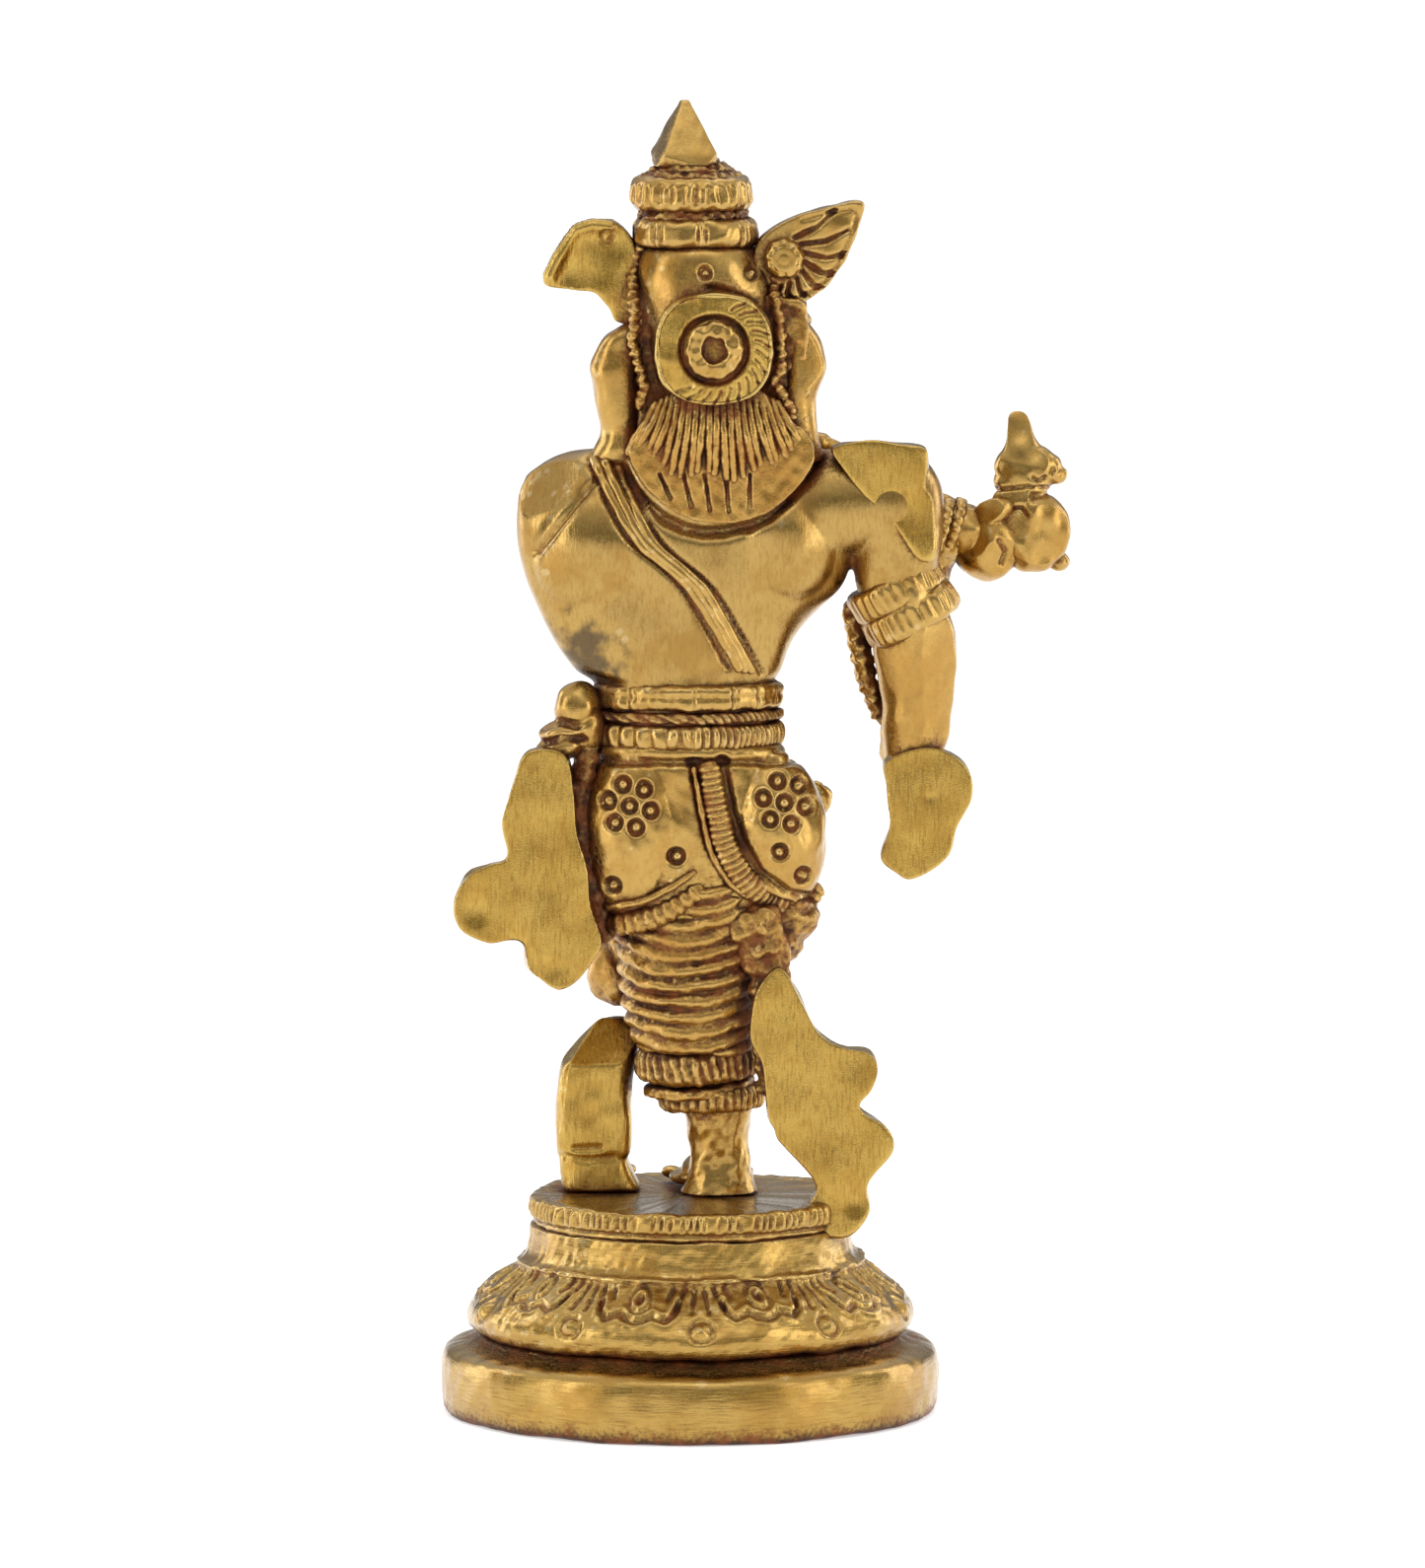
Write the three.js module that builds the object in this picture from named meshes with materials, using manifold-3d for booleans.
// A cast brass flute player standing with crossed legs on a round lotus pedestal, 100 mm tall.
// Millimetres, +Z up. The figure faces -Y, so its right hand is on the -X side.
// The origin is the centre of the flat underside of the plinth.

import * as THREE from "three";
import { mergeVertices } from "three/addons/utils/BufferGeometryUtils.js";
import Module from "manifold-3d";

const wasm = await Module();
wasm.setup();

// ---------------------------------------------------------------- driving sizes

const seam = 0.15; // gap between two pieces that meet

const pedestal = {
  plinthRadius: 19.0,
  plinthHeight: 4.7,
  ledgeHeight: 1.3, // sloping ledge on top of the plinth
  lotusRadius: 17.0,
  lotusHeight: 8.2,
  neckRadius: 12.2,
  discRadius: 12.3,
  discHeight: 2.1,
};

const legs = {
  x: -2.2, // standing leg's axis
  y: -0.6,
  shinRadius: 2.35,
  shinHeight: 6.1, // bare leg between the disc and the lower cuff
  footLength: 9.4,
  footWidth: 7.4,
  footHeight: 3.1,
  lowerCuffHeight: 1.9,
  lowerCuffWidth: 7.6,
  upperCuffHeight: 2.9,
  upperCuffWidth: 9.6,
  foldsHeight: 10.3,
  foldsWidth: 12.4,
  foldsDepth: 9.4,
  crossedShinWidth: 5.5,
  crossedShinDepth: 5.2,
  crossedReach: 9.6, // from the standing leg's axis to the crossed leg's
  thighRadius: 4.0,
};

const hips = {
  height: 12.4,
  width: 18.2,
  depth: 10.8,
  lobeHeight: 11.4,
  hemRadius: 0.85,
};

const belt = {
  girdleHeight: 1.8,
  ridgeHeight: 0.75,
  bandHeight: 1.85,
  gap: 0.2,
  thickness: 0.8, // how far the bands stand out of the waist
};

const torso = {
  height: 18.1, // waistband to the top of the shoulders
  waistWidth: 12.6,
  waistDepth: 8.6,
  chestWidth: 25.6,
  chestDepth: 10.0,
  threadRadius: 0.5,
};

const arm = {
  shoulderRadius: 3.6,
  middleRadius: 2.85,
  elbowRadius: 2.2,
  wristRadius: 1.65,
  upperLength: 10.8, // shoulder to the end of the armlet
  lowerLength: 9.4, // armlet to elbow
  armletHeight: 2.3,
  armletThickness: 0.5,
  bangleHeight: 1.3,
  palmRadius: 2.75,
  scarfThickness: 1.9,
};

const flute = { radius: 0.8, length: 30.0 };

const head = {
  width: 11.8,
  depth: 11.4,
  height: 15.1, // shoulders to the crown's lower edge
  discWidth: 8.8,
  discHeight: 8.4,
  discThickness: 2.2,
  bossRadius: 2.15,
  bossHeight: 0.6,
  boreRadius: 0.85,
  lockThickness: 3.4,
  hairSpread: 2.2, // how much wider the hair is than the head
  hairDrop: 8.4, // hair, from under the disc to its lowest point
  hairThickness: 2.6,
};

const crown = {
  rimHeight: 2.0,
  rimInset: 2.2, // how much narrower the rim is than the head
  neckHeight: 0.5,
  milledHeight: 2.3,
  milledInset: 2.6,
  collarHeight: 0.8,
  collarInset: 5.4,
  finialHeight: 4.65,
  finialWidth: 4.9,
  plateThickness: 1.9,
  featherBossRadius: 1.4,
};

// ---------------------------------------------------------------- levels and places

const plinthTop = pedestal.plinthHeight + pedestal.ledgeHeight;
const lotusTop = plinthTop + seam + pedestal.lotusHeight;
const discTop = lotusTop + seam + pedestal.discHeight;
const floor = discTop + seam; // where the feet stand
const lowerCuffBase = floor + legs.shinHeight + seam;
const upperCuffBase = lowerCuffBase + legs.lowerCuffHeight + seam;
const foldsBase = upperCuffBase + legs.upperCuffHeight + seam;
const hipsBase = foldsBase + legs.foldsHeight + seam;
const hipsTop = hipsBase + hips.height;
const torsoBase = hipsTop + seam;
const girdleBase = torsoBase;
const ridgeBase = girdleBase + belt.girdleHeight + belt.gap;
const bandBase = ridgeBase + belt.ridgeHeight + belt.gap;
const beltTop = bandBase + belt.bandHeight;
const shoulderTop = beltTop + torso.height;
const headBase = shoulderTop + seam;
const crownBase = shoulderTop + head.height;
const crownNeckBase = crownBase + crown.rimHeight + seam;
const milledBase = crownNeckBase + crown.neckHeight + seam;
const collarBase = milledBase + crown.milledHeight + seam;
const finialBase = collarBase + crown.collarHeight + seam;

const rimWidth = head.width - crown.rimInset;
const milledWidth = head.width - crown.milledInset;
const collarWidth = head.width - crown.collarInset;

const hipX = legs.x + 1.0;
const bodyX = legs.x + 2.4; // the waist stands to the figure's left of the standing leg
const bodyY = legs.y + 1.4;
const headX = legs.x + 0.6;
const headY = bodyY + 0.2;
const hipBack = bodyY + hips.depth / 2;
const back = bodyY + torso.chestDepth / 2;
const crossed = { x: legs.x + legs.crossedReach, y: legs.y - 2.0 };
const kneeX = legs.x + legs.foldsWidth / 2 + 2.0; // where the crossed shin meets the folds

const shoulderR = new THREE.Vector3(bodyX - torso.chestWidth / 2 - 1.6, bodyY + 0.1, shoulderTop - 3.4);
const shoulderL = new THREE.Vector3(bodyX + torso.chestWidth / 2 - 3.2, bodyY - 2.4, shoulderTop - 5.6);
const middleR = shoulderR.clone().add(new THREE.Vector3(-2.3, -0.3, -arm.upperLength));
const elbowR = middleR.clone().add(new THREE.Vector3(-0.4, -0.4, -arm.lowerLength));
const lips = new THREE.Vector3(headX + 0.2, headY - head.depth / 2 - 1.7, shoulderTop + 3.9);
const handR = new THREE.Vector3(shoulderR.x - 8.5, lips.y + 1.3, shoulderTop - 7.9);
const fluteLine = new THREE.Vector3(handR.x, lips.y + 0.3, handR.z + 0.9).sub(lips).normalize();

// ---------------------------------------------------------------- shapes

/** A closed geometry as a solid with its faces pointing out. */
function solidOf(geometry) {
  const bare = geometry.index ? geometry.toNonIndexed() : geometry.clone();
  bare.deleteAttribute("normal");
  bare.deleteAttribute("uv");
  const merged = mergeVertices(bare, 1e-4);
  const triVerts = new Uint32Array(merged.index.array);
  const vertProperties = merged.attributes.position.array;
  const made = new wasm.Manifold(new wasm.Mesh({ numProp: 3, vertProperties, triVerts }));
  if (made.volume() > 0) return made;
  for (let i = 0; i < triVerts.length; i += 3) {
    [triVerts[i + 1], triVerts[i + 2]] = [triVerts[i + 2], triVerts[i + 1]];
  }
  return new wasm.Manifold(new wasm.Mesh({ numProp: 3, vertProperties, triVerts }));
}

/** A solid's surface as a geometry. */
function geometryOf(solid) {
  const { numProp, numVert, vertProperties, triVerts } = solid.getMesh();
  const vertices = new Float32Array(numVert * 3);
  for (let i = 0; i < numVert; i++) {
    vertices.set(vertProperties.subarray(i * numProp, i * numProp + 3), i * 3);
  }
  const geometry = new THREE.BufferGeometry();
  geometry.setAttribute("position", new THREE.BufferAttribute(vertices, 3));
  geometry.setIndex(new THREE.BufferAttribute(triVerts, 1));
  geometry.computeVertexNormals();
  return geometry;
}

/** A turned solid about the Z axis, from [radius, z] points that run up its outline. */
function turned(outline, sides = 36) {
  const low = outline[0][1];
  const high = outline[outline.length - 1][1];
  const profile = [[0, low], ...outline, [0, high]].map(([r, z]) => new THREE.Vector2(r, z));
  return solidOf(new THREE.LatheGeometry(profile, sides).rotateX(Math.PI / 2));
}

/**
 * A solid through level sections { z, x, y, rx, ry, square }, where square is the superellipse power:
 * 2 is an ellipse and 4 is nearly a rounded rectangle.
 */
function loft(sections, grow = 0, sides = 20, rings = 6) {
  const centres = sections.map((s) => new THREE.Vector3(s.x, s.y, s.z));
  const sizes = sections.map((s) => new THREE.Vector3(s.rx, s.ry, s.square ?? 2));
  const centreLine = new THREE.CatmullRomCurve3(centres, false, "catmullrom", 0.5);
  const sizeLine = new THREE.CatmullRomCurve3(sizes, false, "catmullrom", 0.5);
  const geometry = new THREE.CylinderGeometry(1, 1, 1, sides, rings).rotateX(Math.PI / 2);
  const position = geometry.getAttribute("position");
  const bulge = (value, power) => Math.sign(value) * Math.abs(value) ** (2 / power);
  for (let i = 0; i < position.count; i++) {
    const [px, py, pz] = [position.getX(i), position.getY(i), position.getZ(i)];
    const centre = centreLine.getPoint(pz + 0.5);
    const size = sizeLine.getPoint(pz + 0.5);
    const end = Math.abs(pz) > 0.499 ? Math.sign(pz) * grow : 0;
    position.setXYZ(
      i,
      centre.x + bulge(px, size.z) * (size.x + grow),
      centre.y + bulge(py, size.z) * (size.y + grow),
      centre.z + end,
    );
  }
  return solidOf(geometry);
}

/** A limb with rounded ends through points, with a radius at each. */
function limb(points, radii, grow = 0, sides = 10, spans = 5) {
  const path = new THREE.CatmullRomCurve3(points, false, "catmullrom", 0.4);
  const sizes = new THREE.CatmullRomCurve3(radii.map((r) => new THREE.Vector3(r, 0, 0)), false);
  const rounding = [1, 0.62, 0].map((out) => ({ out, size: Math.sqrt(1 - (0.94 * out) ** 2) }));
  const rings = spans + 4;
  const geometry = new THREE.CylinderGeometry(1, 1, 1, sides, rings);
  const position = geometry.getAttribute("position");
  const up = new THREE.Vector3(0, 1, 0);
  for (let i = 0; i < position.count; i++) {
    const ring = Math.round((position.getY(i) + 0.5) * rings);
    const fromEnd = Math.min(ring, rings - ring, 2);
    const t = THREE.MathUtils.clamp((ring - 2) / spans, 0, 1);
    const radius = sizes.getPoint(t).x + grow;
    const tangent = path.getTangent(t);
    const beyond = Math.sign(ring - rings / 2) * rounding[fromEnd].out * 0.94 * radius;
    const offset = new THREE.Vector3(position.getX(i), 0, position.getZ(i));
    offset.multiplyScalar(radius * rounding[fromEnd].size);
    offset.applyQuaternion(new THREE.Quaternion().setFromUnitVectors(up, tangent));
    const point = path.getPoint(t).addScaledVector(tangent, beyond).add(offset);
    position.setXYZ(i, point.x, point.y, point.z);
  }
  return solidOf(geometry);
}

/** An ellipsoid with half sizes rx, ry and rz. */
function egg(centre, rx, ry, rz, grow = 0, sides = 12) {
  const ball = new THREE.SphereGeometry(1, sides, Math.round(sides / 2));
  return solidOf(ball.scale(rx + grow, ry + grow, rz + grow).translate(...centre));
}

/** An upright plate: a smooth outline of [x, z] points about the anchor, from y to y + thickness. */
function plate(outline, anchor, thickness, grow = 0, points = 24, bevel = 0.35) {
  const curve = new THREE.CatmullRomCurve3(
    outline.map(([x, z]) => new THREE.Vector3(x, z, 0)),
    true,
    "catmullrom",
    0.5,
  );
  const corners = curve.getPoints(points).slice(0, -1);
  const shape = new THREE.Shape(corners.map((p) => new THREE.Vector2(p.x, p.y)));
  const geometry = new THREE.ExtrudeGeometry(shape, {
    depth: thickness - 2 * bevel + 2 * grow,
    bevelThickness: bevel,
    bevelSize: bevel,
    bevelOffset: grow - bevel,
    bevelSegments: 1,
    curveSegments: 1,
  });
  geometry.translate(0, 0, bevel - grow).rotateX(Math.PI / 2);
  geometry.translate(anchor.x, anchor.y + thickness, anchor.z);
  return solidOf(geometry);
}

/** A round cord through points. */
function cord(points, radius, grow = 0, sides = 3, stepsPerPoint = 3) {
  const section = new THREE.Shape().absarc(0, 0, radius + grow, 0, 2 * Math.PI);
  const path = new THREE.CatmullRomCurve3(points, false, "catmullrom", 0.5);
  const steps = points.length * stepsPerPoint;
  return solidOf(new THREE.ExtrudeGeometry(section, { extrudePath: path, steps, curveSegments: sides }));
}

const at = (x, y, z) => new THREE.Vector3(x, y, z);

// ---------------------------------------------------------------- finishes

const polished = () => new THREE.MeshStandardMaterial({ color: 0xb9933f, roughness: 0.3, metalness: 1 });
const filed = () => new THREE.MeshStandardMaterial({ color: 0xb08f45, roughness: 0.42, metalness: 1 });
const aged = () => new THREE.MeshStandardMaterial({ color: 0x8f6426, roughness: 0.5, metalness: 1 });

// ---------------------------------------------------------------- pieces

const statue = new THREE.Group();
const shapes = new Map();

/**
 * Starts an assembly's group and returns a function that adds a named mesh to it. shape(grow) makes the
 * piece's solid grown by that much, and the piece is cut back to stand one seam clear of each earlier
 * piece that it names.
 */
function assembly() {
  const group = new THREE.Group();
  statue.add(group);
  return (name, finish, shape, ...clearOf) => {
    shapes.set(name, shape);
    const solid = clearOf.reduce((left, other) => left.subtract(shapes.get(other)(seam)), shape(0));
    const mesh = new THREE.Mesh(geometryOf(solid), finish());
    mesh.name = name;
    mesh.geometry.computeBoundingBox();
    mesh.geometry.boundingBox.getCenter(mesh.position);
    mesh.geometry.translate(-mesh.position.x, -mesh.position.y, -mesh.position.z);
    group.add(mesh);
  };
}

// Pedestal: a plain plinth, a domed lotus and a small disc that the feet stand on.
function buildPedestal() {
  const piece = assembly();
  const { plinthRadius, plinthHeight, lotusRadius, lotusHeight, neckRadius, discRadius } = pedestal;
  const lotusBase = plinthTop + seam;
  piece("plinth", polished, (grow) =>
    turned([
      [plinthRadius - 0.5 + grow, -grow],
      [plinthRadius + grow, 0.6],
      [plinthRadius + grow, plinthHeight - 0.4],
      [plinthRadius - 0.5 + grow, plinthHeight + grow],
      [lotusRadius - 0.7, plinthTop + grow],
    ]),
  );
  piece("lotus_pedestal", polished, (grow) =>
    turned([
      [lotusRadius - 1.0 + grow, lotusBase - grow],
      [lotusRadius + grow, lotusBase + 0.15 * lotusHeight],
      [lotusRadius - 0.5 + grow, lotusBase + 0.3 * lotusHeight],
      [lotusRadius - 2.1 + grow, lotusBase + 0.48 * lotusHeight],
      [neckRadius + 0.6 + grow, lotusBase + 0.64 * lotusHeight],
      [neckRadius + grow, lotusTop + grow],
    ]),
  );
  piece("platform_disc", filed, (grow) =>
    turned([
      [discRadius - 0.3 + grow, lotusTop + seam - grow],
      [discRadius + grow, lotusTop + seam + 0.4],
      [discRadius + grow, discTop - 0.5],
      [discRadius - 0.4 + grow, discTop + grow],
    ]),
  );
}

// Legs: the standing leg in its folds of cloth, and the other leg crossed over it with the toes down.
function buildLegs() {
  const piece = assembly();
  const { x, y, shinRadius, footWidth, footLength, footHeight } = legs;
  piece("standing_shin", polished, (grow) =>
    loft(
      [
        { z: floor, x, y, rx: shinRadius + 0.7, ry: shinRadius + 0.4 },
        { z: floor + 0.45 * legs.shinHeight, x, y, rx: shinRadius, ry: shinRadius },
        { z: floor + legs.shinHeight, x: x + 0.2, y, rx: shinRadius + 0.4, ry: shinRadius + 0.3 },
      ],
      grow,
      18,
      4,
    ),
  );
  const foot = (heel, rx, ry, height, grow) =>
    loft(
      [
        { z: heel.z, x: heel.x, y: heel.y, rx, ry },
        { z: heel.z + 0.5 * height, x: heel.x, y: heel.y, rx: 0.86 * rx, ry: 0.86 * ry },
        { z: heel.z + height, x: heel.x, y: heel.y + 0.2 * ry, rx: 0.35 * rx, ry: 0.4 * ry },
      ],
      grow,
      16,
      4,
    );
  piece(
    "standing_foot",
    polished,
    (grow) => foot(at(x + 0.9, y - 2.8, floor), footWidth / 2, footLength / 2, footHeight, grow),
    "standing_shin",
  );
  const cuff = (base, height, width, shift, grow) =>
    loft(
      [
        { z: base, x: x + shift, y, rx: width / 2 - 0.4, ry: width / 2 - 0.8 },
        { z: base + height * 0.5, x: x + shift, y, rx: width / 2, ry: width / 2 - 0.4 },
        { z: base + height, x: x + shift, y, rx: width / 2 - 0.2, ry: width / 2 - 0.6 },
      ],
      grow,
      20,
      3,
    );
  piece("lower_cuff", aged, (grow) =>
    cuff(lowerCuffBase, legs.lowerCuffHeight, legs.lowerCuffWidth, 0.5, grow),
  );
  piece("upper_cuff", aged, (grow) =>
    cuff(upperCuffBase, legs.upperCuffHeight, legs.upperCuffWidth, 1.4, grow),
  );
  piece("dhoti_folds", aged, (grow) => {
    const half = legs.foldsWidth / 2;
    const depth = legs.foldsDepth / 2;
    const level = (t) => foldsBase + t * legs.foldsHeight;
    return loft(
      [
        { z: level(0), x: x + 1.7, y: y + 0.3, rx: half - 1.1, ry: depth - 0.5 },
        { z: level(0.35), x: x + 2.2, y: y + 0.4, rx: half - 0.2, ry: depth },
        { z: level(0.7), x: x + 1.8, y: y + 0.6, rx: half + 0.6, ry: depth + 0.2 },
        { z: level(1), x: x + 1.3, y: y + 0.8, rx: half + 1.4, ry: depth + 0.3 },
      ],
      grow,
      20,
      5,
    );
  });
  piece(
    "crossed_shin",
    filed,
    (grow) => {
      const half = legs.crossedShinWidth / 2;
      const depth = legs.crossedShinDepth / 2;
      const level = (t) => floor + t * (foldsBase + 3.6 - floor);
      return loft(
        [
          { z: level(0), x: crossed.x - 0.5, y: crossed.y, rx: half - 0.1, ry: depth - 0.2, square: 4 },
          { z: level(0.22), x: crossed.x - 0.2, y: crossed.y, rx: half - 0.2, ry: depth, square: 4 },
          { z: level(0.55), x: crossed.x, y: crossed.y, rx: half, ry: depth, square: 4 },
          { z: level(0.76), x: (crossed.x + kneeX) / 2 + 0.1, y: crossed.y, rx: half - 0.5, ry: depth, square: 3 },
          { z: level(1), x: kneeX, y: crossed.y, rx: half - 1.0, ry: depth, square: 2.4 },
        ],
        grow,
        20,
        7,
      );
    },
    "dhoti_folds",
    "upper_cuff",
  );
  piece(
    "crossed_foot",
    polished,
    (grow) => foot(at(crossed.x - 0.7, crossed.y - 3.0, floor), 2.5, 3.4, 2.9, grow),
    "crossed_shin",
    "standing_foot",
  );
  piece(
    "crossed_thigh",
    aged,
    (grow) =>
      limb(
        [at(x - 2.6, y - 3.0, hipsBase + 4.4), at(x + 8.0, y - 3.4, foldsBase + 4.0)],
        [legs.thighRadius + 0.3, legs.thighRadius - 1.1],
        grow,
        12,
      ),
    "dhoti_folds",
    "crossed_shin",
  );
}

// Hips: the seat of the dhoti, with its raised hems, pleats and sash.
function buildHips() {
  const piece = assembly();
  const half = hips.width / 2;
  const depth = hips.depth / 2;
  const level = (t) => hipsBase + t * hips.height;
  const lobe = (side, radius, grow) =>
    egg(at(hipX + side, bodyY + 2.0, level(0.5)), radius, depth - 1.8, hips.lobeHeight / 2, grow);
  piece(
    "dhoti_seat",
    polished,
    (grow) =>
      loft(
        [
          { z: level(0), x: hipX + 0.3, y: bodyY, rx: half - 1.3, ry: depth - 0.9 },
          { z: level(0.4), x: hipX, y: bodyY, rx: half, ry: depth - 0.5 },
          { z: level(0.72), x: hipX + 0.3, y: bodyY, rx: half - 0.9, ry: depth - 0.6 },
          { z: level(1), x: bodyX, y: bodyY, rx: torso.waistWidth / 2 + 0.6, ry: torso.waistDepth / 2 + 0.4 },
        ],
        grow,
        20,
        5,
      )
        .add(lobe(half - 4.6, 4.2, grow))
        .add(lobe(4.2 - half, 4.0, grow)),
    "dhoti_folds",
    "crossed_thigh",
    "crossed_shin",
  );
  piece(
    "seat_hem",
    aged,
    (grow) =>
      cord(
        [
          at(hipX - 0.2, hipBack - 0.6, level(0.97)),
          at(hipX - 0.5, hipBack - 0.1, level(0.6)),
          at(hipX - 1.8, hipBack - 0.1, level(0.24)),
          at(hipX - 4.4, hipBack - 0.2, level(0.01)),
          at(hipX - half + 0.9, hipBack - 3.2, level(0.03)),
        ],
        hips.hemRadius,
        grow,
      ),
    "dhoti_seat",
    "dhoti_folds",
    "crossed_thigh",
  );
  piece(
    "thigh_hem",
    aged,
    (grow) =>
      cord(
        [
          at(hipX + half - 2.0, hipBack - 3.0, level(0.05)),
          at(hipX + half - 4.8, hipBack - 0.7, level(0.08)),
          at(hipX + 1.6, hipBack - 0.2, level(0.2)),
        ],
        hips.hemRadius * 0.85,
        grow,
      ),
    "dhoti_seat",
    "dhoti_folds",
  );
  piece(
    "front_pleats",
    polished,
    (grow) =>
      loft(
        [
          { z: level(0.3), x: bodyX - 0.8, y: bodyY - depth - 0.8, rx: 2.6, ry: 1.5, square: 3 },
          { z: level(0.6), x: bodyX - 0.5, y: bodyY - depth - 0.4, rx: 2.2, ry: 1.5, square: 3 },
          { z: level(1), x: bodyX, y: bodyY - depth + 0.5, rx: 1.8, ry: 1.3, square: 3 },
        ],
        grow,
        16,
        4,
      ),
    "dhoti_seat",
    "crossed_thigh",
    "dhoti_folds",
  );
  piece(
    "front_sash",
    polished,
    (grow) =>
      cord(
        [
          at(hipX + half - 1.0, bodyY - 2.4, level(0.78)),
          at(hipX + half - 3.2, bodyY - depth - 0.9, level(0.4)),
          at(hipX + 1.6, bodyY - depth - 4.9, level(0.12)),
          at(hipX - 3.4, bodyY - depth - 4.8, level(0.22)),
          at(hipX - half + 0.9, bodyY - depth - 0.4, level(0.66)),
        ],
        1.0,
        grow,
      ),
    "dhoti_seat",
    "crossed_thigh",
    "front_pleats",
  );
}

// Torso and the three-tier girdle round its waist.
function buildTorso() {
  const piece = assembly();
  const waist = { x: bodyX, y: bodyY, rx: torso.waistWidth / 2, ry: torso.waistDepth / 2 };
  const chest = torso.chestWidth / 2;
  const depth = torso.chestDepth / 2;
  const level = (t) => beltTop + t * torso.height;
  piece(
    "torso",
    polished,
    (grow) =>
      loft(
        [
          { z: torsoBase, ...waist },
          { z: level(-0.06), ...waist, rx: waist.rx + 0.3 },
          { z: level(0.09), x: bodyX + 0.9, y: bodyY, rx: waist.rx + 1.9, ry: waist.ry, square: 2.3 },
          { z: level(0.36), x: bodyX + 0.2, y: bodyY, rx: chest - 1.0, ry: depth - 0.3, square: 2.4 },
          { z: level(0.62), x: bodyX, y: bodyY, rx: chest, ry: depth, square: 2.4 },
          { z: level(0.84), x: bodyX, y: bodyY, rx: chest - 0.1, ry: depth - 0.3, square: 2.4 },
          { z: level(0.95), x: bodyX - 0.9, y: bodyY, rx: chest - 1.8, ry: depth - 1.0, square: 2.3 },
          { z: shoulderTop, x: headX, y: headY, rx: head.width / 2 - 0.9, ry: head.depth / 2 - 1.7 },
        ],
        grow,
        20,
        10,
      ),
  );
  const band = (base, height, stand, grow) =>
    loft(
      [
        { z: base, ...waist, rx: waist.rx + stand, ry: waist.ry + stand - 0.2 },
        { z: base + height / 2, ...waist, rx: waist.rx + stand + 0.2, ry: waist.ry + stand },
        { z: base + height, ...waist, rx: waist.rx + stand, ry: waist.ry + stand - 0.2 },
      ],
      grow,
      20,
      2,
    );
  const { thickness } = belt;
  piece("beaded_girdle", polished, (grow) => band(girdleBase, belt.girdleHeight, thickness, grow), "torso");
  piece("girdle_ridge", aged, (grow) => band(ridgeBase, belt.ridgeHeight, thickness - 0.1, grow), "torso");
  piece("waistband", polished, (grow) => band(bandBase, belt.bandHeight, thickness, grow), "torso");
  piece(
    "belt_clasp",
    polished,
    (grow) => egg(at(bodyX, bodyY - waist.ry - 0.9, girdleBase + 2.2), 1.9, 1.3, 2.1, grow),
    "torso",
    "girdle_ridge",
    "beaded_girdle",
    "waistband",
    "front_pleats",
    "dhoti_seat",
  );
  piece(
    "sacred_thread",
    polished,
    (grow) =>
      cord(
        [
          at(headX + 7.2, back - 1.4, shoulderTop - 2.4),
          at(headX + 5.4, back + 0.0, level(0.68)),
          at(headX + 1.6, back + 0.15, level(0.38)),
          at(headX - 1.2, back - 0.3, level(0.2)),
          at(headX - 2.6, back - 0.75, level(0.05)),
        ],
        torso.threadRadius,
        grow,
      ),
    "torso",
    "waistband",
  );
  piece(
    "necklace",
    polished,
    (grow) =>
      cord(
        [
          at(headX + 5.4, bodyY - depth + 2.4, shoulderTop - 1.8),
          at(headX + 3.6, bodyY - depth + 0.4, level(0.7)),
          at(headX, bodyY - depth - 0.1, level(0.6)),
          at(headX - 3.6, bodyY - depth + 0.4, level(0.7)),
          at(headX - 5.4, bodyY - depth + 2.4, shoulderTop - 1.8),
        ],
        0.75,
        grow,
      ),
    "torso",
  );
}

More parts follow.
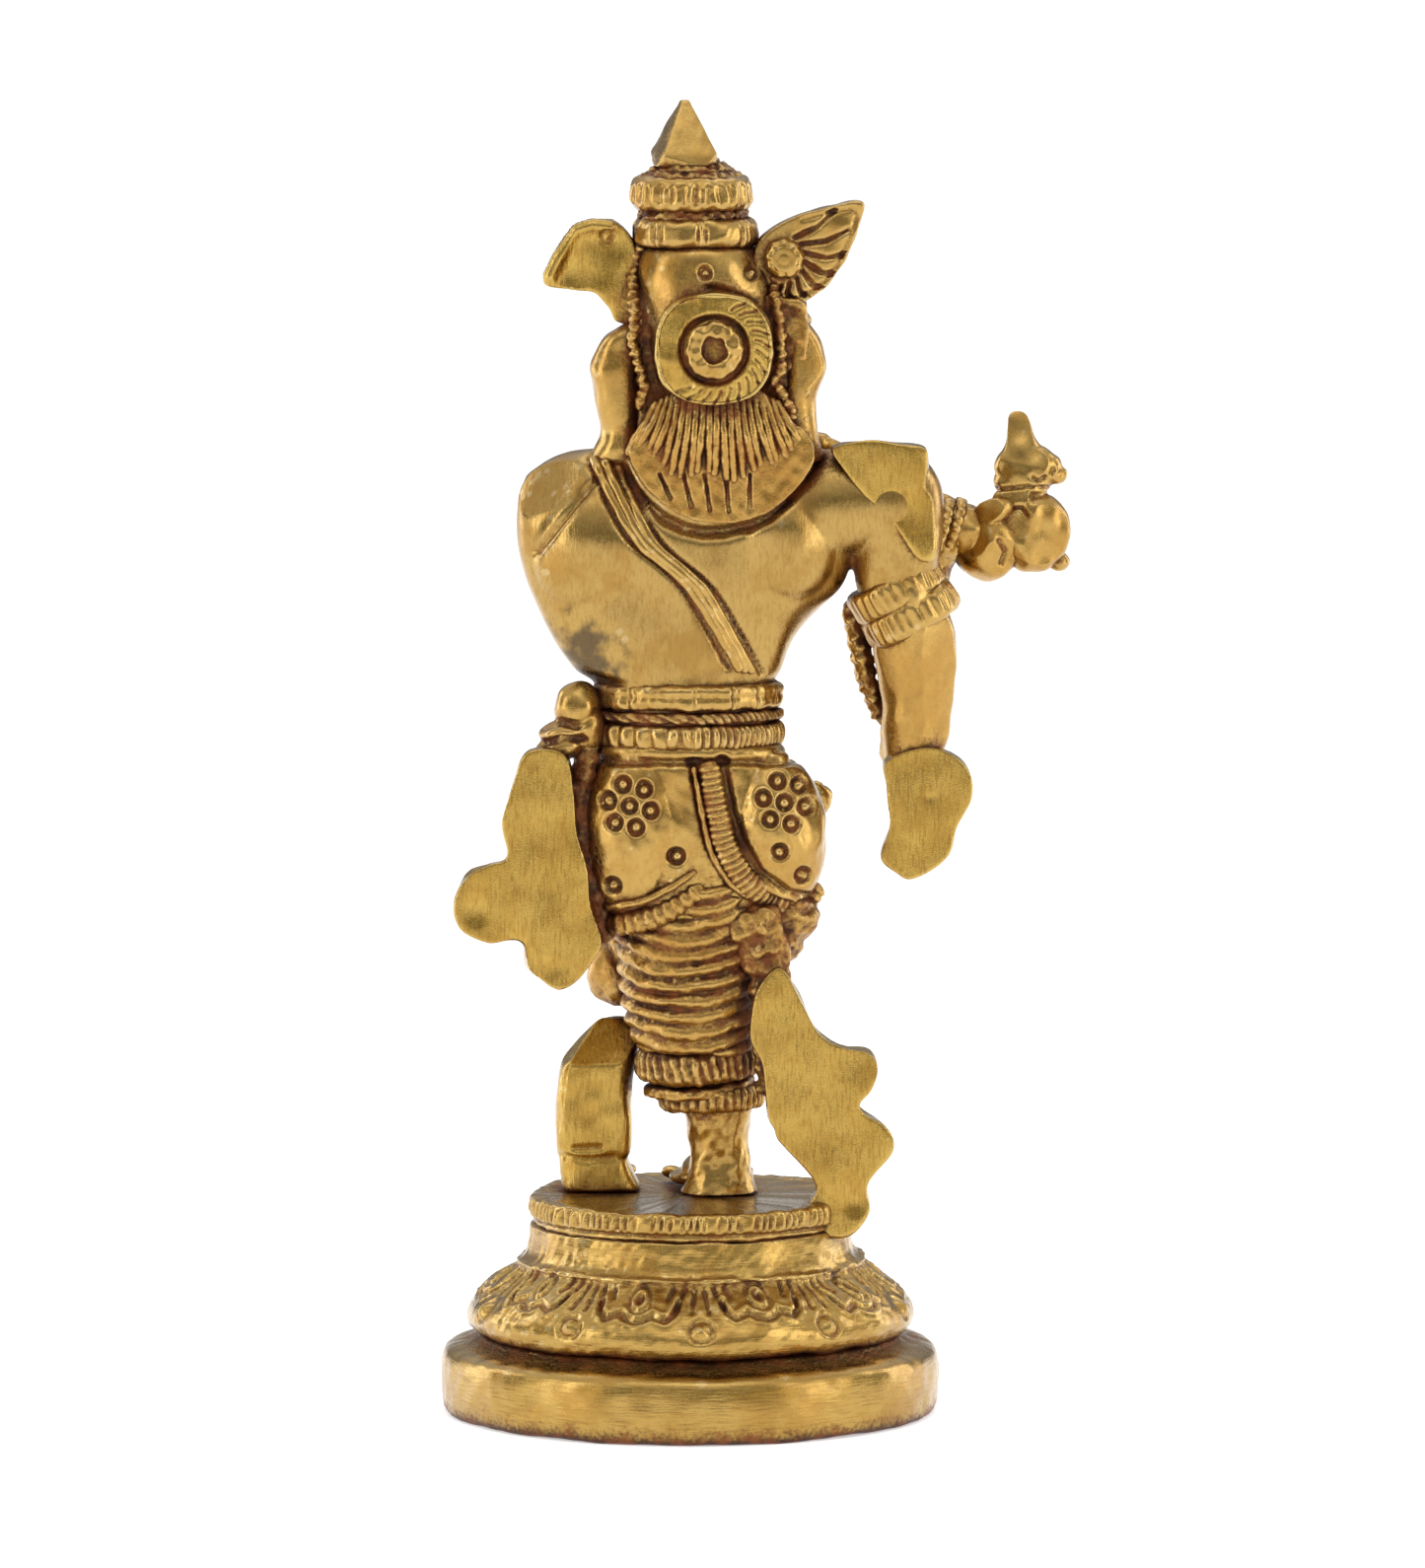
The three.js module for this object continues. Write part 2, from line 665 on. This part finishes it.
// Scarf ends: flat plates with wavy edges, one at the left hip and one beside the right leg.
function buildSashes() {
  const piece = assembly();
  const hipEdge = hipX + hips.width / 2;
  piece(
    "hip_knot",
    polished,
    (grow) =>
      loft(
        [
          { z: girdleBase + 0.1, x: hipEdge + 1.7, y: bodyY + 1.4, rx: 2.1, ry: 1.9, square: 2.6 },
          { z: girdleBase + 1.6, x: hipEdge + 1.3, y: bodyY + 1.4, rx: 2.0, ry: 1.9, square: 2.6 },
          { z: beltTop - 0.6, x: hipEdge + 0.7, y: bodyY + 1.4, rx: 1.5, ry: 1.6 },
        ],
        grow,
        16,
        4,
      ),
    "torso",
    "girdle_ridge",
    "beaded_girdle",
    "waistband",
    "dhoti_seat",
  );
  piece(
    "hip_sash_end",
    filed,
    (grow) =>
      plate(
        [
          [0.5, 0.0],
          [3.9, 0.0],
          [5.7, -2.6],
          [6.2, -8.2],
          [8.6, -9.4],
          [9.8, -11.6],
          [9.0, -13.8],
          [5.2, -15.2],
          [4.2, -17.2],
          [2.2, -18.2],
          [0.2, -17.4],
          [-1.4, -15.2],
          [0.6, -9.0],
        ],
        at(hipEdge, back - 2.6, girdleBase - 0.5),
        2.6,
        grow,
      ),
    "dhoti_seat",
    "dhoti_folds",
    "hip_knot",
    "thigh_hem",
    "crossed_shin",
    "crossed_thigh",
  );
  piece(
    "leg_sash_end",
    filed,
    (grow) =>
      plate(
        [
          [-3.6, 10.2],
          [-3.4, 14.8],
          [-4.6, 17.7],
          [-8.2, 13.0],
          [-11.2, 11.4],
          [-11.4, 9.2],
          [-10.5, 7.2],
          [-12.6, 4.6],
          [-11.4, -0.2],
          [-9.8, -1.9],
          [-7.2, -1.8],
          [-6.7, 0.8],
          [-5.0, 4.6],
        ],
        at(legs.x, hipBack - 2.4, floor),
        2.4,
        grow,
      ),
    "platform_disc",
    "lotus_pedestal",
    "dhoti_folds",
    "dhoti_seat",
    "seat_hem",
    "lower_cuff",
    "upper_cuff",
    "crossed_thigh",
  );
}

/** A short tube's solid round a limb, centred on a point. */
function ring(middle, direction, radius, height, grow) {
  const tube = new THREE.CylinderGeometry(radius + grow, radius + grow, height + 2 * grow, 18);
  tube.applyQuaternion(new THREE.Quaternion().setFromUnitVectors(at(0, 1, 0), direction));
  return solidOf(tube.translate(...middle));
}

// Right arm: down to the elbow with a scarf end hanging there, and the forearm back up to the flute.
function buildRightArm() {
  const piece = assembly();
  const tilt = at(-0.47, 0, -0.88).normalize();
  const armletRadius = arm.middleRadius + arm.armletThickness;
  const armletUpper = shoulderR.clone().lerp(middleR, 0.7);
  const armletLower = armletUpper.clone().addScaledVector(tilt, arm.armletHeight + seam);
  const rise = (t, x, y) => at(elbowR.x + x, elbowR.y + y, elbowR.z + t * (handR.z - elbowR.z));
  piece("flute", polished, (grow) =>
    limb([lips, lips.clone().addScaledVector(fluteLine, flute.length)], [flute.radius, flute.radius], grow, 10),
  );
  piece(
    "right_upper_arm",
    polished,
    (grow) =>
      limb([shoulderR, middleR, elbowR], [arm.shoulderRadius, arm.middleRadius, arm.elbowRadius], grow),
    "torso",
  );
  piece(
    "right_armlet_upper",
    polished,
    (grow) => ring(armletUpper, tilt, armletRadius + 0.25, arm.armletHeight, grow),
    "right_upper_arm",
    "torso",
  );
  piece(
    "right_armlet_lower",
    polished,
    (grow) => ring(armletLower, tilt, armletRadius + 0.35, arm.armletHeight, grow),
    "right_upper_arm",
    "torso",
  );
  piece(
    "right_forearm",
    polished,
    (grow) =>
      limb(
        [rise(0.02, 0.2, -3.2), rise(0.8, -1.2, -5.6), rise(1.04, -2.0, -6.2)],
        [arm.elbowRadius, arm.wristRadius + 0.1, arm.wristRadius],
        grow,
      ),
    "right_upper_arm",
    "right_armlet_upper",
    "right_armlet_lower",
    "flute",
  );
  piece(
    "right_hand",
    polished,
    (grow) => egg(handR, arm.palmRadius, arm.palmRadius - 0.2, arm.palmRadius, grow),
    "right_forearm",
    "flute",
  );
  piece(
    "right_fingers",
    polished,
    (grow) =>
      egg(at(handR.x - 3.6, handR.y, handR.z + 0.9), 2.3, 2.1, 3.2, grow).add(
        limb(
          [at(handR.x - 2.6, handR.y, handR.z + 4.6), at(handR.x - 2.4, handR.y, handR.z + 9.3)],
          [2.3, 0.8],
          grow,
        ),
      ),
    "right_hand",
    "flute",
  );
  piece(
    "shoulder_scarf",
    filed,
    (grow) =>
      plate(
        [
          [4.0, 2.9],
          [0.4, 3.4],
          [-2.8, 3.1],
          [-3.4, 0.4],
          [-4.2, -3.2],
          [-3.6, -5.6],
          [-2.2, -4.4],
          [0.4, -1.2],
          [3.4, 1.4],
        ],
        at(shoulderR.x, back - 2.9, shoulderR.z),
        2.6,
        grow,
      ),
    "torso",
    "right_upper_arm",
    "right_armlet_upper",
    "right_armlet_lower",
  );
  piece(
    "arm_scarf_end",
    filed,
    (grow) =>
      plate(
        [
          [2.5, -0.6],
          [2.1, -3.4],
          [2.5, -6.2],
          [2.2, -8.6],
          [-0.4, -10.2],
          [-3.0, -8.2],
          [-3.4, -5.6],
          [-4.3, -3.2],
          [-3.6, -0.8],
          [-1.6, 0.2],
        ],
        at(elbowR.x, back - 4.3, elbowR.z + 0.8),
        arm.scarfThickness,
        grow,
      ),
    "right_upper_arm",
    "right_forearm",
  );
  piece(
    "arm_scarf_strip",
    aged,
    (grow) =>
      cord(
        [
          at(shoulderR.x + 3.2, bodyY - 2.2, armletUpper.z - 0.6),
          at(shoulderR.x + 1.8, bodyY - 2.7, armletUpper.z - 5.6),
          at(shoulderR.x + 0.3, bodyY - 3.0, elbowR.z + 2.2),
        ],
        0.75,
        grow,
      ),
    "torso",
    "right_upper_arm",
    "right_armlet_upper",
    "right_armlet_lower",
    "right_forearm",
  );
}

// Left arm: down beside the chest and across the front to the flute.
function buildLeftArm() {
  const piece = assembly();
  const elbow = shoulderL.clone().add(at(-1.6, -6.0, -7.6));
  const grip = lips.clone().addScaledVector(fluteLine, 14.0).add(at(0, 0.2, -1.9));
  const wrist = grip.clone().lerp(elbow, 0.16);
  const down = elbow.clone().sub(shoulderL).normalize();
  piece(
    "left_upper_arm",
    polished,
    (grow) => limb([shoulderL, elbow], [arm.shoulderRadius, arm.elbowRadius + 0.3], grow),
    "torso",
  );
  piece(
    "left_armlet",
    polished,
    (grow) =>
      ring(shoulderL.clone().addScaledVector(down, 6.4), down, arm.middleRadius + 0.75, arm.armletHeight, grow),
    "left_upper_arm",
    "torso",
  );
  piece(
    "left_forearm",
    polished,
    (grow) => limb([elbow, wrist], [arm.elbowRadius, arm.wristRadius], grow),
    "torso",
    "left_upper_arm",
    "left_armlet",
    "necklace",
    "flute",
  );
  piece(
    "left_bangle",
    polished,
    (grow) =>
      ring(
        wrist.clone().lerp(elbow, 0.12),
        wrist.clone().sub(elbow).normalize(),
        arm.wristRadius + 0.7,
        arm.bangleHeight,
        grow,
      ),
    "left_forearm",
    "torso",
    "flute",
    "necklace",
  );
  piece(
    "left_hand",
    polished,
    (grow) => egg(grip, 2.4, 1.9, 2.4, grow),
    "left_forearm",
    "left_bangle",
    "flute",
    "torso",
    "right_upper_arm",
  );
}

// Head, hair, the disc behind it and the locks beside it.
function buildHead() {
  const piece = assembly();
  const half = head.width / 2;
  const depth = head.depth / 2;
  const rise = crownBase - seam - headBase;
  const level = (t) => headBase + t * rise;
  const discMiddle = at(headX - 0.2, headY + depth + 2.6, level(0.51));
  const hairBack = back + 0.5;
  piece(
    "head",
    polished,
    (grow) =>
      loft(
        [
          { z: level(0), x: headX, y: headY, rx: half - 1.8, ry: depth - 1.9 },
          { z: level(0.12), x: headX, y: headY - 0.2, rx: half - 1.3, ry: depth - 1.0 },
          { z: level(0.36), x: headX, y: headY - 0.3, rx: half - 0.3, ry: depth - 0.2 },
          { z: level(0.64), x: headX + 0.1, y: headY, rx: half, ry: depth },
          { z: level(1), x: headX + 0.9, y: headY, rx: rimWidth / 2 + 0.1, ry: rimWidth / 2 },
        ],
        grow,
        20,
        7,
      ).add(egg(at(headX, headY - depth + 0.3, level(0.4)), 0.85, 1.2, 1.7, grow, 8)),
    "torso",
    "flute",
  );
  const boss = (radius, height, grow) => {
    const button = new THREE.CylinderGeometry(radius + grow, radius + grow, height + 2 * grow, 20);
    return solidOf(button.translate(discMiddle.x, discMiddle.y + seam + head.bossHeight / 2, discMiddle.z));
  };
  piece(
    "head_disc",
    filed,
    (grow) => {
      const sides = 12;
      const round = (v) => Math.sign(v) * Math.abs(v) ** 0.8;
      const outline = Array.from({ length: sides }, (_, i) => {
        const angle = (2 * Math.PI * i) / sides;
        return [(head.discWidth / 2) * round(Math.cos(angle)), (head.discHeight / 2) * round(Math.sin(angle))];
      });
      const thickness = head.discThickness + 1.6;
      return plate(outline, at(discMiddle.x, discMiddle.y - thickness, discMiddle.z), thickness, grow);
    },
    "head",
  );
  piece("disc_boss", polished, (grow) =>
    boss(head.bossRadius, head.bossHeight, grow).subtract(boss(head.boreRadius, head.bossHeight + 1, -grow)),
  );
  piece(
    "hair_fan",
    aged,
    (grow) => {
      const reach = (head.width + head.hairSpread) / 2;
      const drop = head.hairDrop;
      return plate(
        [
          [-reach * 0.6, 0.8],
          [reach * 0.6, 0.8],
          [reach, -0.4 * drop],
          [reach * 0.72, -0.72 * drop],
          [reach * 0.3, -drop],
          [-reach * 0.5, -0.96 * drop],
          [-reach * 0.86, -0.64 * drop],
          [-reach * 1.06, -0.36 * drop],
        ],
        at(headX - 0.6, hairBack - head.hairThickness, discMiddle.z - head.discHeight / 2 - 0.6),
        head.hairThickness,
        grow,
      );
    },
    "torso",
    "head",
    "head_disc",
    "sacred_thread",
    "shoulder_scarf",
  );
  const lock = (side, top, drop, grow) => {
    const edge = headX + side * (half + 0.6);
    const y = headY + 1.6;
    const thick = head.lockThickness / 2;
    return loft(
      [
        { z: shoulderTop - drop, x: edge + side * 0.8, y, rx: 1.2, ry: thick - 0.3 },
        { z: shoulderTop + 2.8, x: edge + side * 0.5, y, rx: 1.8, ry: thick },
        { z: shoulderTop + 6.2, x: edge + side * 0.5, y, rx: 2.2, ry: thick },
        { z: top, x: edge - side * 0.7, y, rx: 1.0, ry: thick - 0.5 },
      ],
      grow,
      16,
      6,
    );
  };
  piece(
    "left_hair_lock",
    polished,
    (grow) => lock(1, shoulderTop + 9.0, 0.6, grow),
    "torso",
    "head",
    "head_disc",
    "hair_fan",
    "left_upper_arm",
  );
  piece(
    "right_hair_lock",
    polished,
    (grow) => lock(-1, shoulderTop + 10.4, -0.1, grow),
    "torso",
    "head",
    "head_disc",
    "hair_fan",
    "right_upper_arm",
    "shoulder_scarf",
  );
}

// Crown: stacked bands under a pointed finial, with a plain wing on one side and a feather on the other.
function buildCrown() {
  const piece = assembly();
  const x = headX + 1.2;
  const y = headY;
  const tier = (base, height, low, high, shift, grow) =>
    loft(
      [
        { z: base, x: x + shift, y, rx: low / 2 - 0.3, ry: low / 2 - 0.5 },
        { z: base + height * 0.5, x: x + shift, y, rx: low / 2, ry: low / 2 - 0.2 },
        { z: base + height, x: x + shift, y, rx: high / 2, ry: high / 2 - 0.2 },
      ],
      grow,
      20,
      2,
    );
  piece("crown_rim", polished, (grow) =>
    tier(crownBase, crown.rimHeight, rimWidth, rimWidth - 0.5, 0, grow),
  );
  piece("crown_neck", aged, (grow) =>
    tier(crownNeckBase, crown.neckHeight, milledWidth - 0.9, milledWidth - 0.9, 0.2, grow),
  );
  piece("crown_milled_band", polished, (grow) =>
    tier(milledBase, crown.milledHeight, milledWidth, milledWidth - 1.0, 0.3, grow),
  );
  piece("crown_collar", aged, (grow) =>
    tier(collarBase, crown.collarHeight, collarWidth, collarWidth - 0.8, 0.3, grow),
  );
  piece("crown_finial", polished, (grow) => {
    const half = crown.finialWidth / 2;
    const level = (t) => finialBase + t * crown.finialHeight;
    return loft(
      [
        { z: level(0), x: x + 0.8, y, rx: half - 0.2, ry: half - 0.2, square: 2.6 },
        { z: level(0.16), x: x + 0.8, y, rx: half, ry: half, square: 2.6 },
        { z: level(0.6), x: x + 0.7, y, rx: 0.62 * half, ry: 0.62 * half, square: 2.3 },
        { z: level(1), x: x + 0.6, y, rx: 0.7, ry: 0.7 },
      ],
      grow,
      18,
      5,
    );
  });
  const wingBase = crownBase - 3.4;
  piece(
    "crown_wing",
    filed,
    (grow) =>
      plate(
        [
          [0.4, 5.3],
          [3.0, 5.2],
          [5.0, 3.7],
          [6.7, 0.9],
          [6.0, 0.1],
          [3.0, -0.3],
          [1.9, -1.6],
          [0.3, -2.2],
          [-0.3, 1.2],
        ],
        at(x + rimWidth / 2 - 0.2, y - 0.2, wingBase),
        crown.plateThickness,
        grow,
      ),
    "head",
    "crown_rim",
    "crown_neck",
    "crown_milled_band",
    "left_hair_lock",
  );
  piece(
    "feather",
    polished,
    (grow) =>
      plate(
        [
          [0.3, 4.4],
          [-2.6, 5.9],
          [-6.8, 6.9],
          [-7.8, 6.2],
          [-6.9, 3.4],
          [-5.1, 0.5],
          [-3.2, -0.9],
          [-1.2, -1.4],
          [0.3, 0.6],
        ],
        at(x - rimWidth / 2 - 0.2, y + 0.6, wingBase),
        crown.plateThickness,
        grow,
      ),
    "head",
    "crown_rim",
    "crown_neck",
    "crown_milled_band",
    "right_hair_lock",
  );
  piece(
    "feather_boss",
    polished,
    (grow) => {
      const radius = crown.featherBossRadius + grow;
      const button = new THREE.CylinderGeometry(radius, radius, 1.2 + 2 * grow, 16);
      const middle = y + 0.6 + crown.plateThickness + seam + 0.6;
      return solidOf(button.translate(x - rimWidth / 2 - 1.9, middle, wingBase + 2.5));
    },
    "head",
    "crown_rim",
    "right_hair_lock",
  );
  piece(
    "crown_front_leaf",
    polished,
    (grow) =>
      loft(
        [
          { z: crownBase + 0.3, x, y: y - rimWidth / 2 - 0.5, rx: 2.2, ry: 0.7, square: 2.4 },
          { z: crownBase + 2.3, x: x + 0.2, y: y - rimWidth / 2 - 0.4, rx: 2.4, ry: 0.8, square: 2.4 },
          { z: crownBase + 5.4, x: x + 0.5, y: y - rimWidth / 2 + 0.9, rx: 0.5, ry: 0.5 },
        ],
        grow,
        14,
        4,
      ),
    "crown_rim",
    "crown_neck",
    "crown_milled_band",
    "crown_collar",
  );
}

buildPedestal();
buildLegs();
buildHips();
buildTorso();
buildSashes();
buildRightArm();
buildLeftArm();
buildHead();
buildCrown();

export default statue;
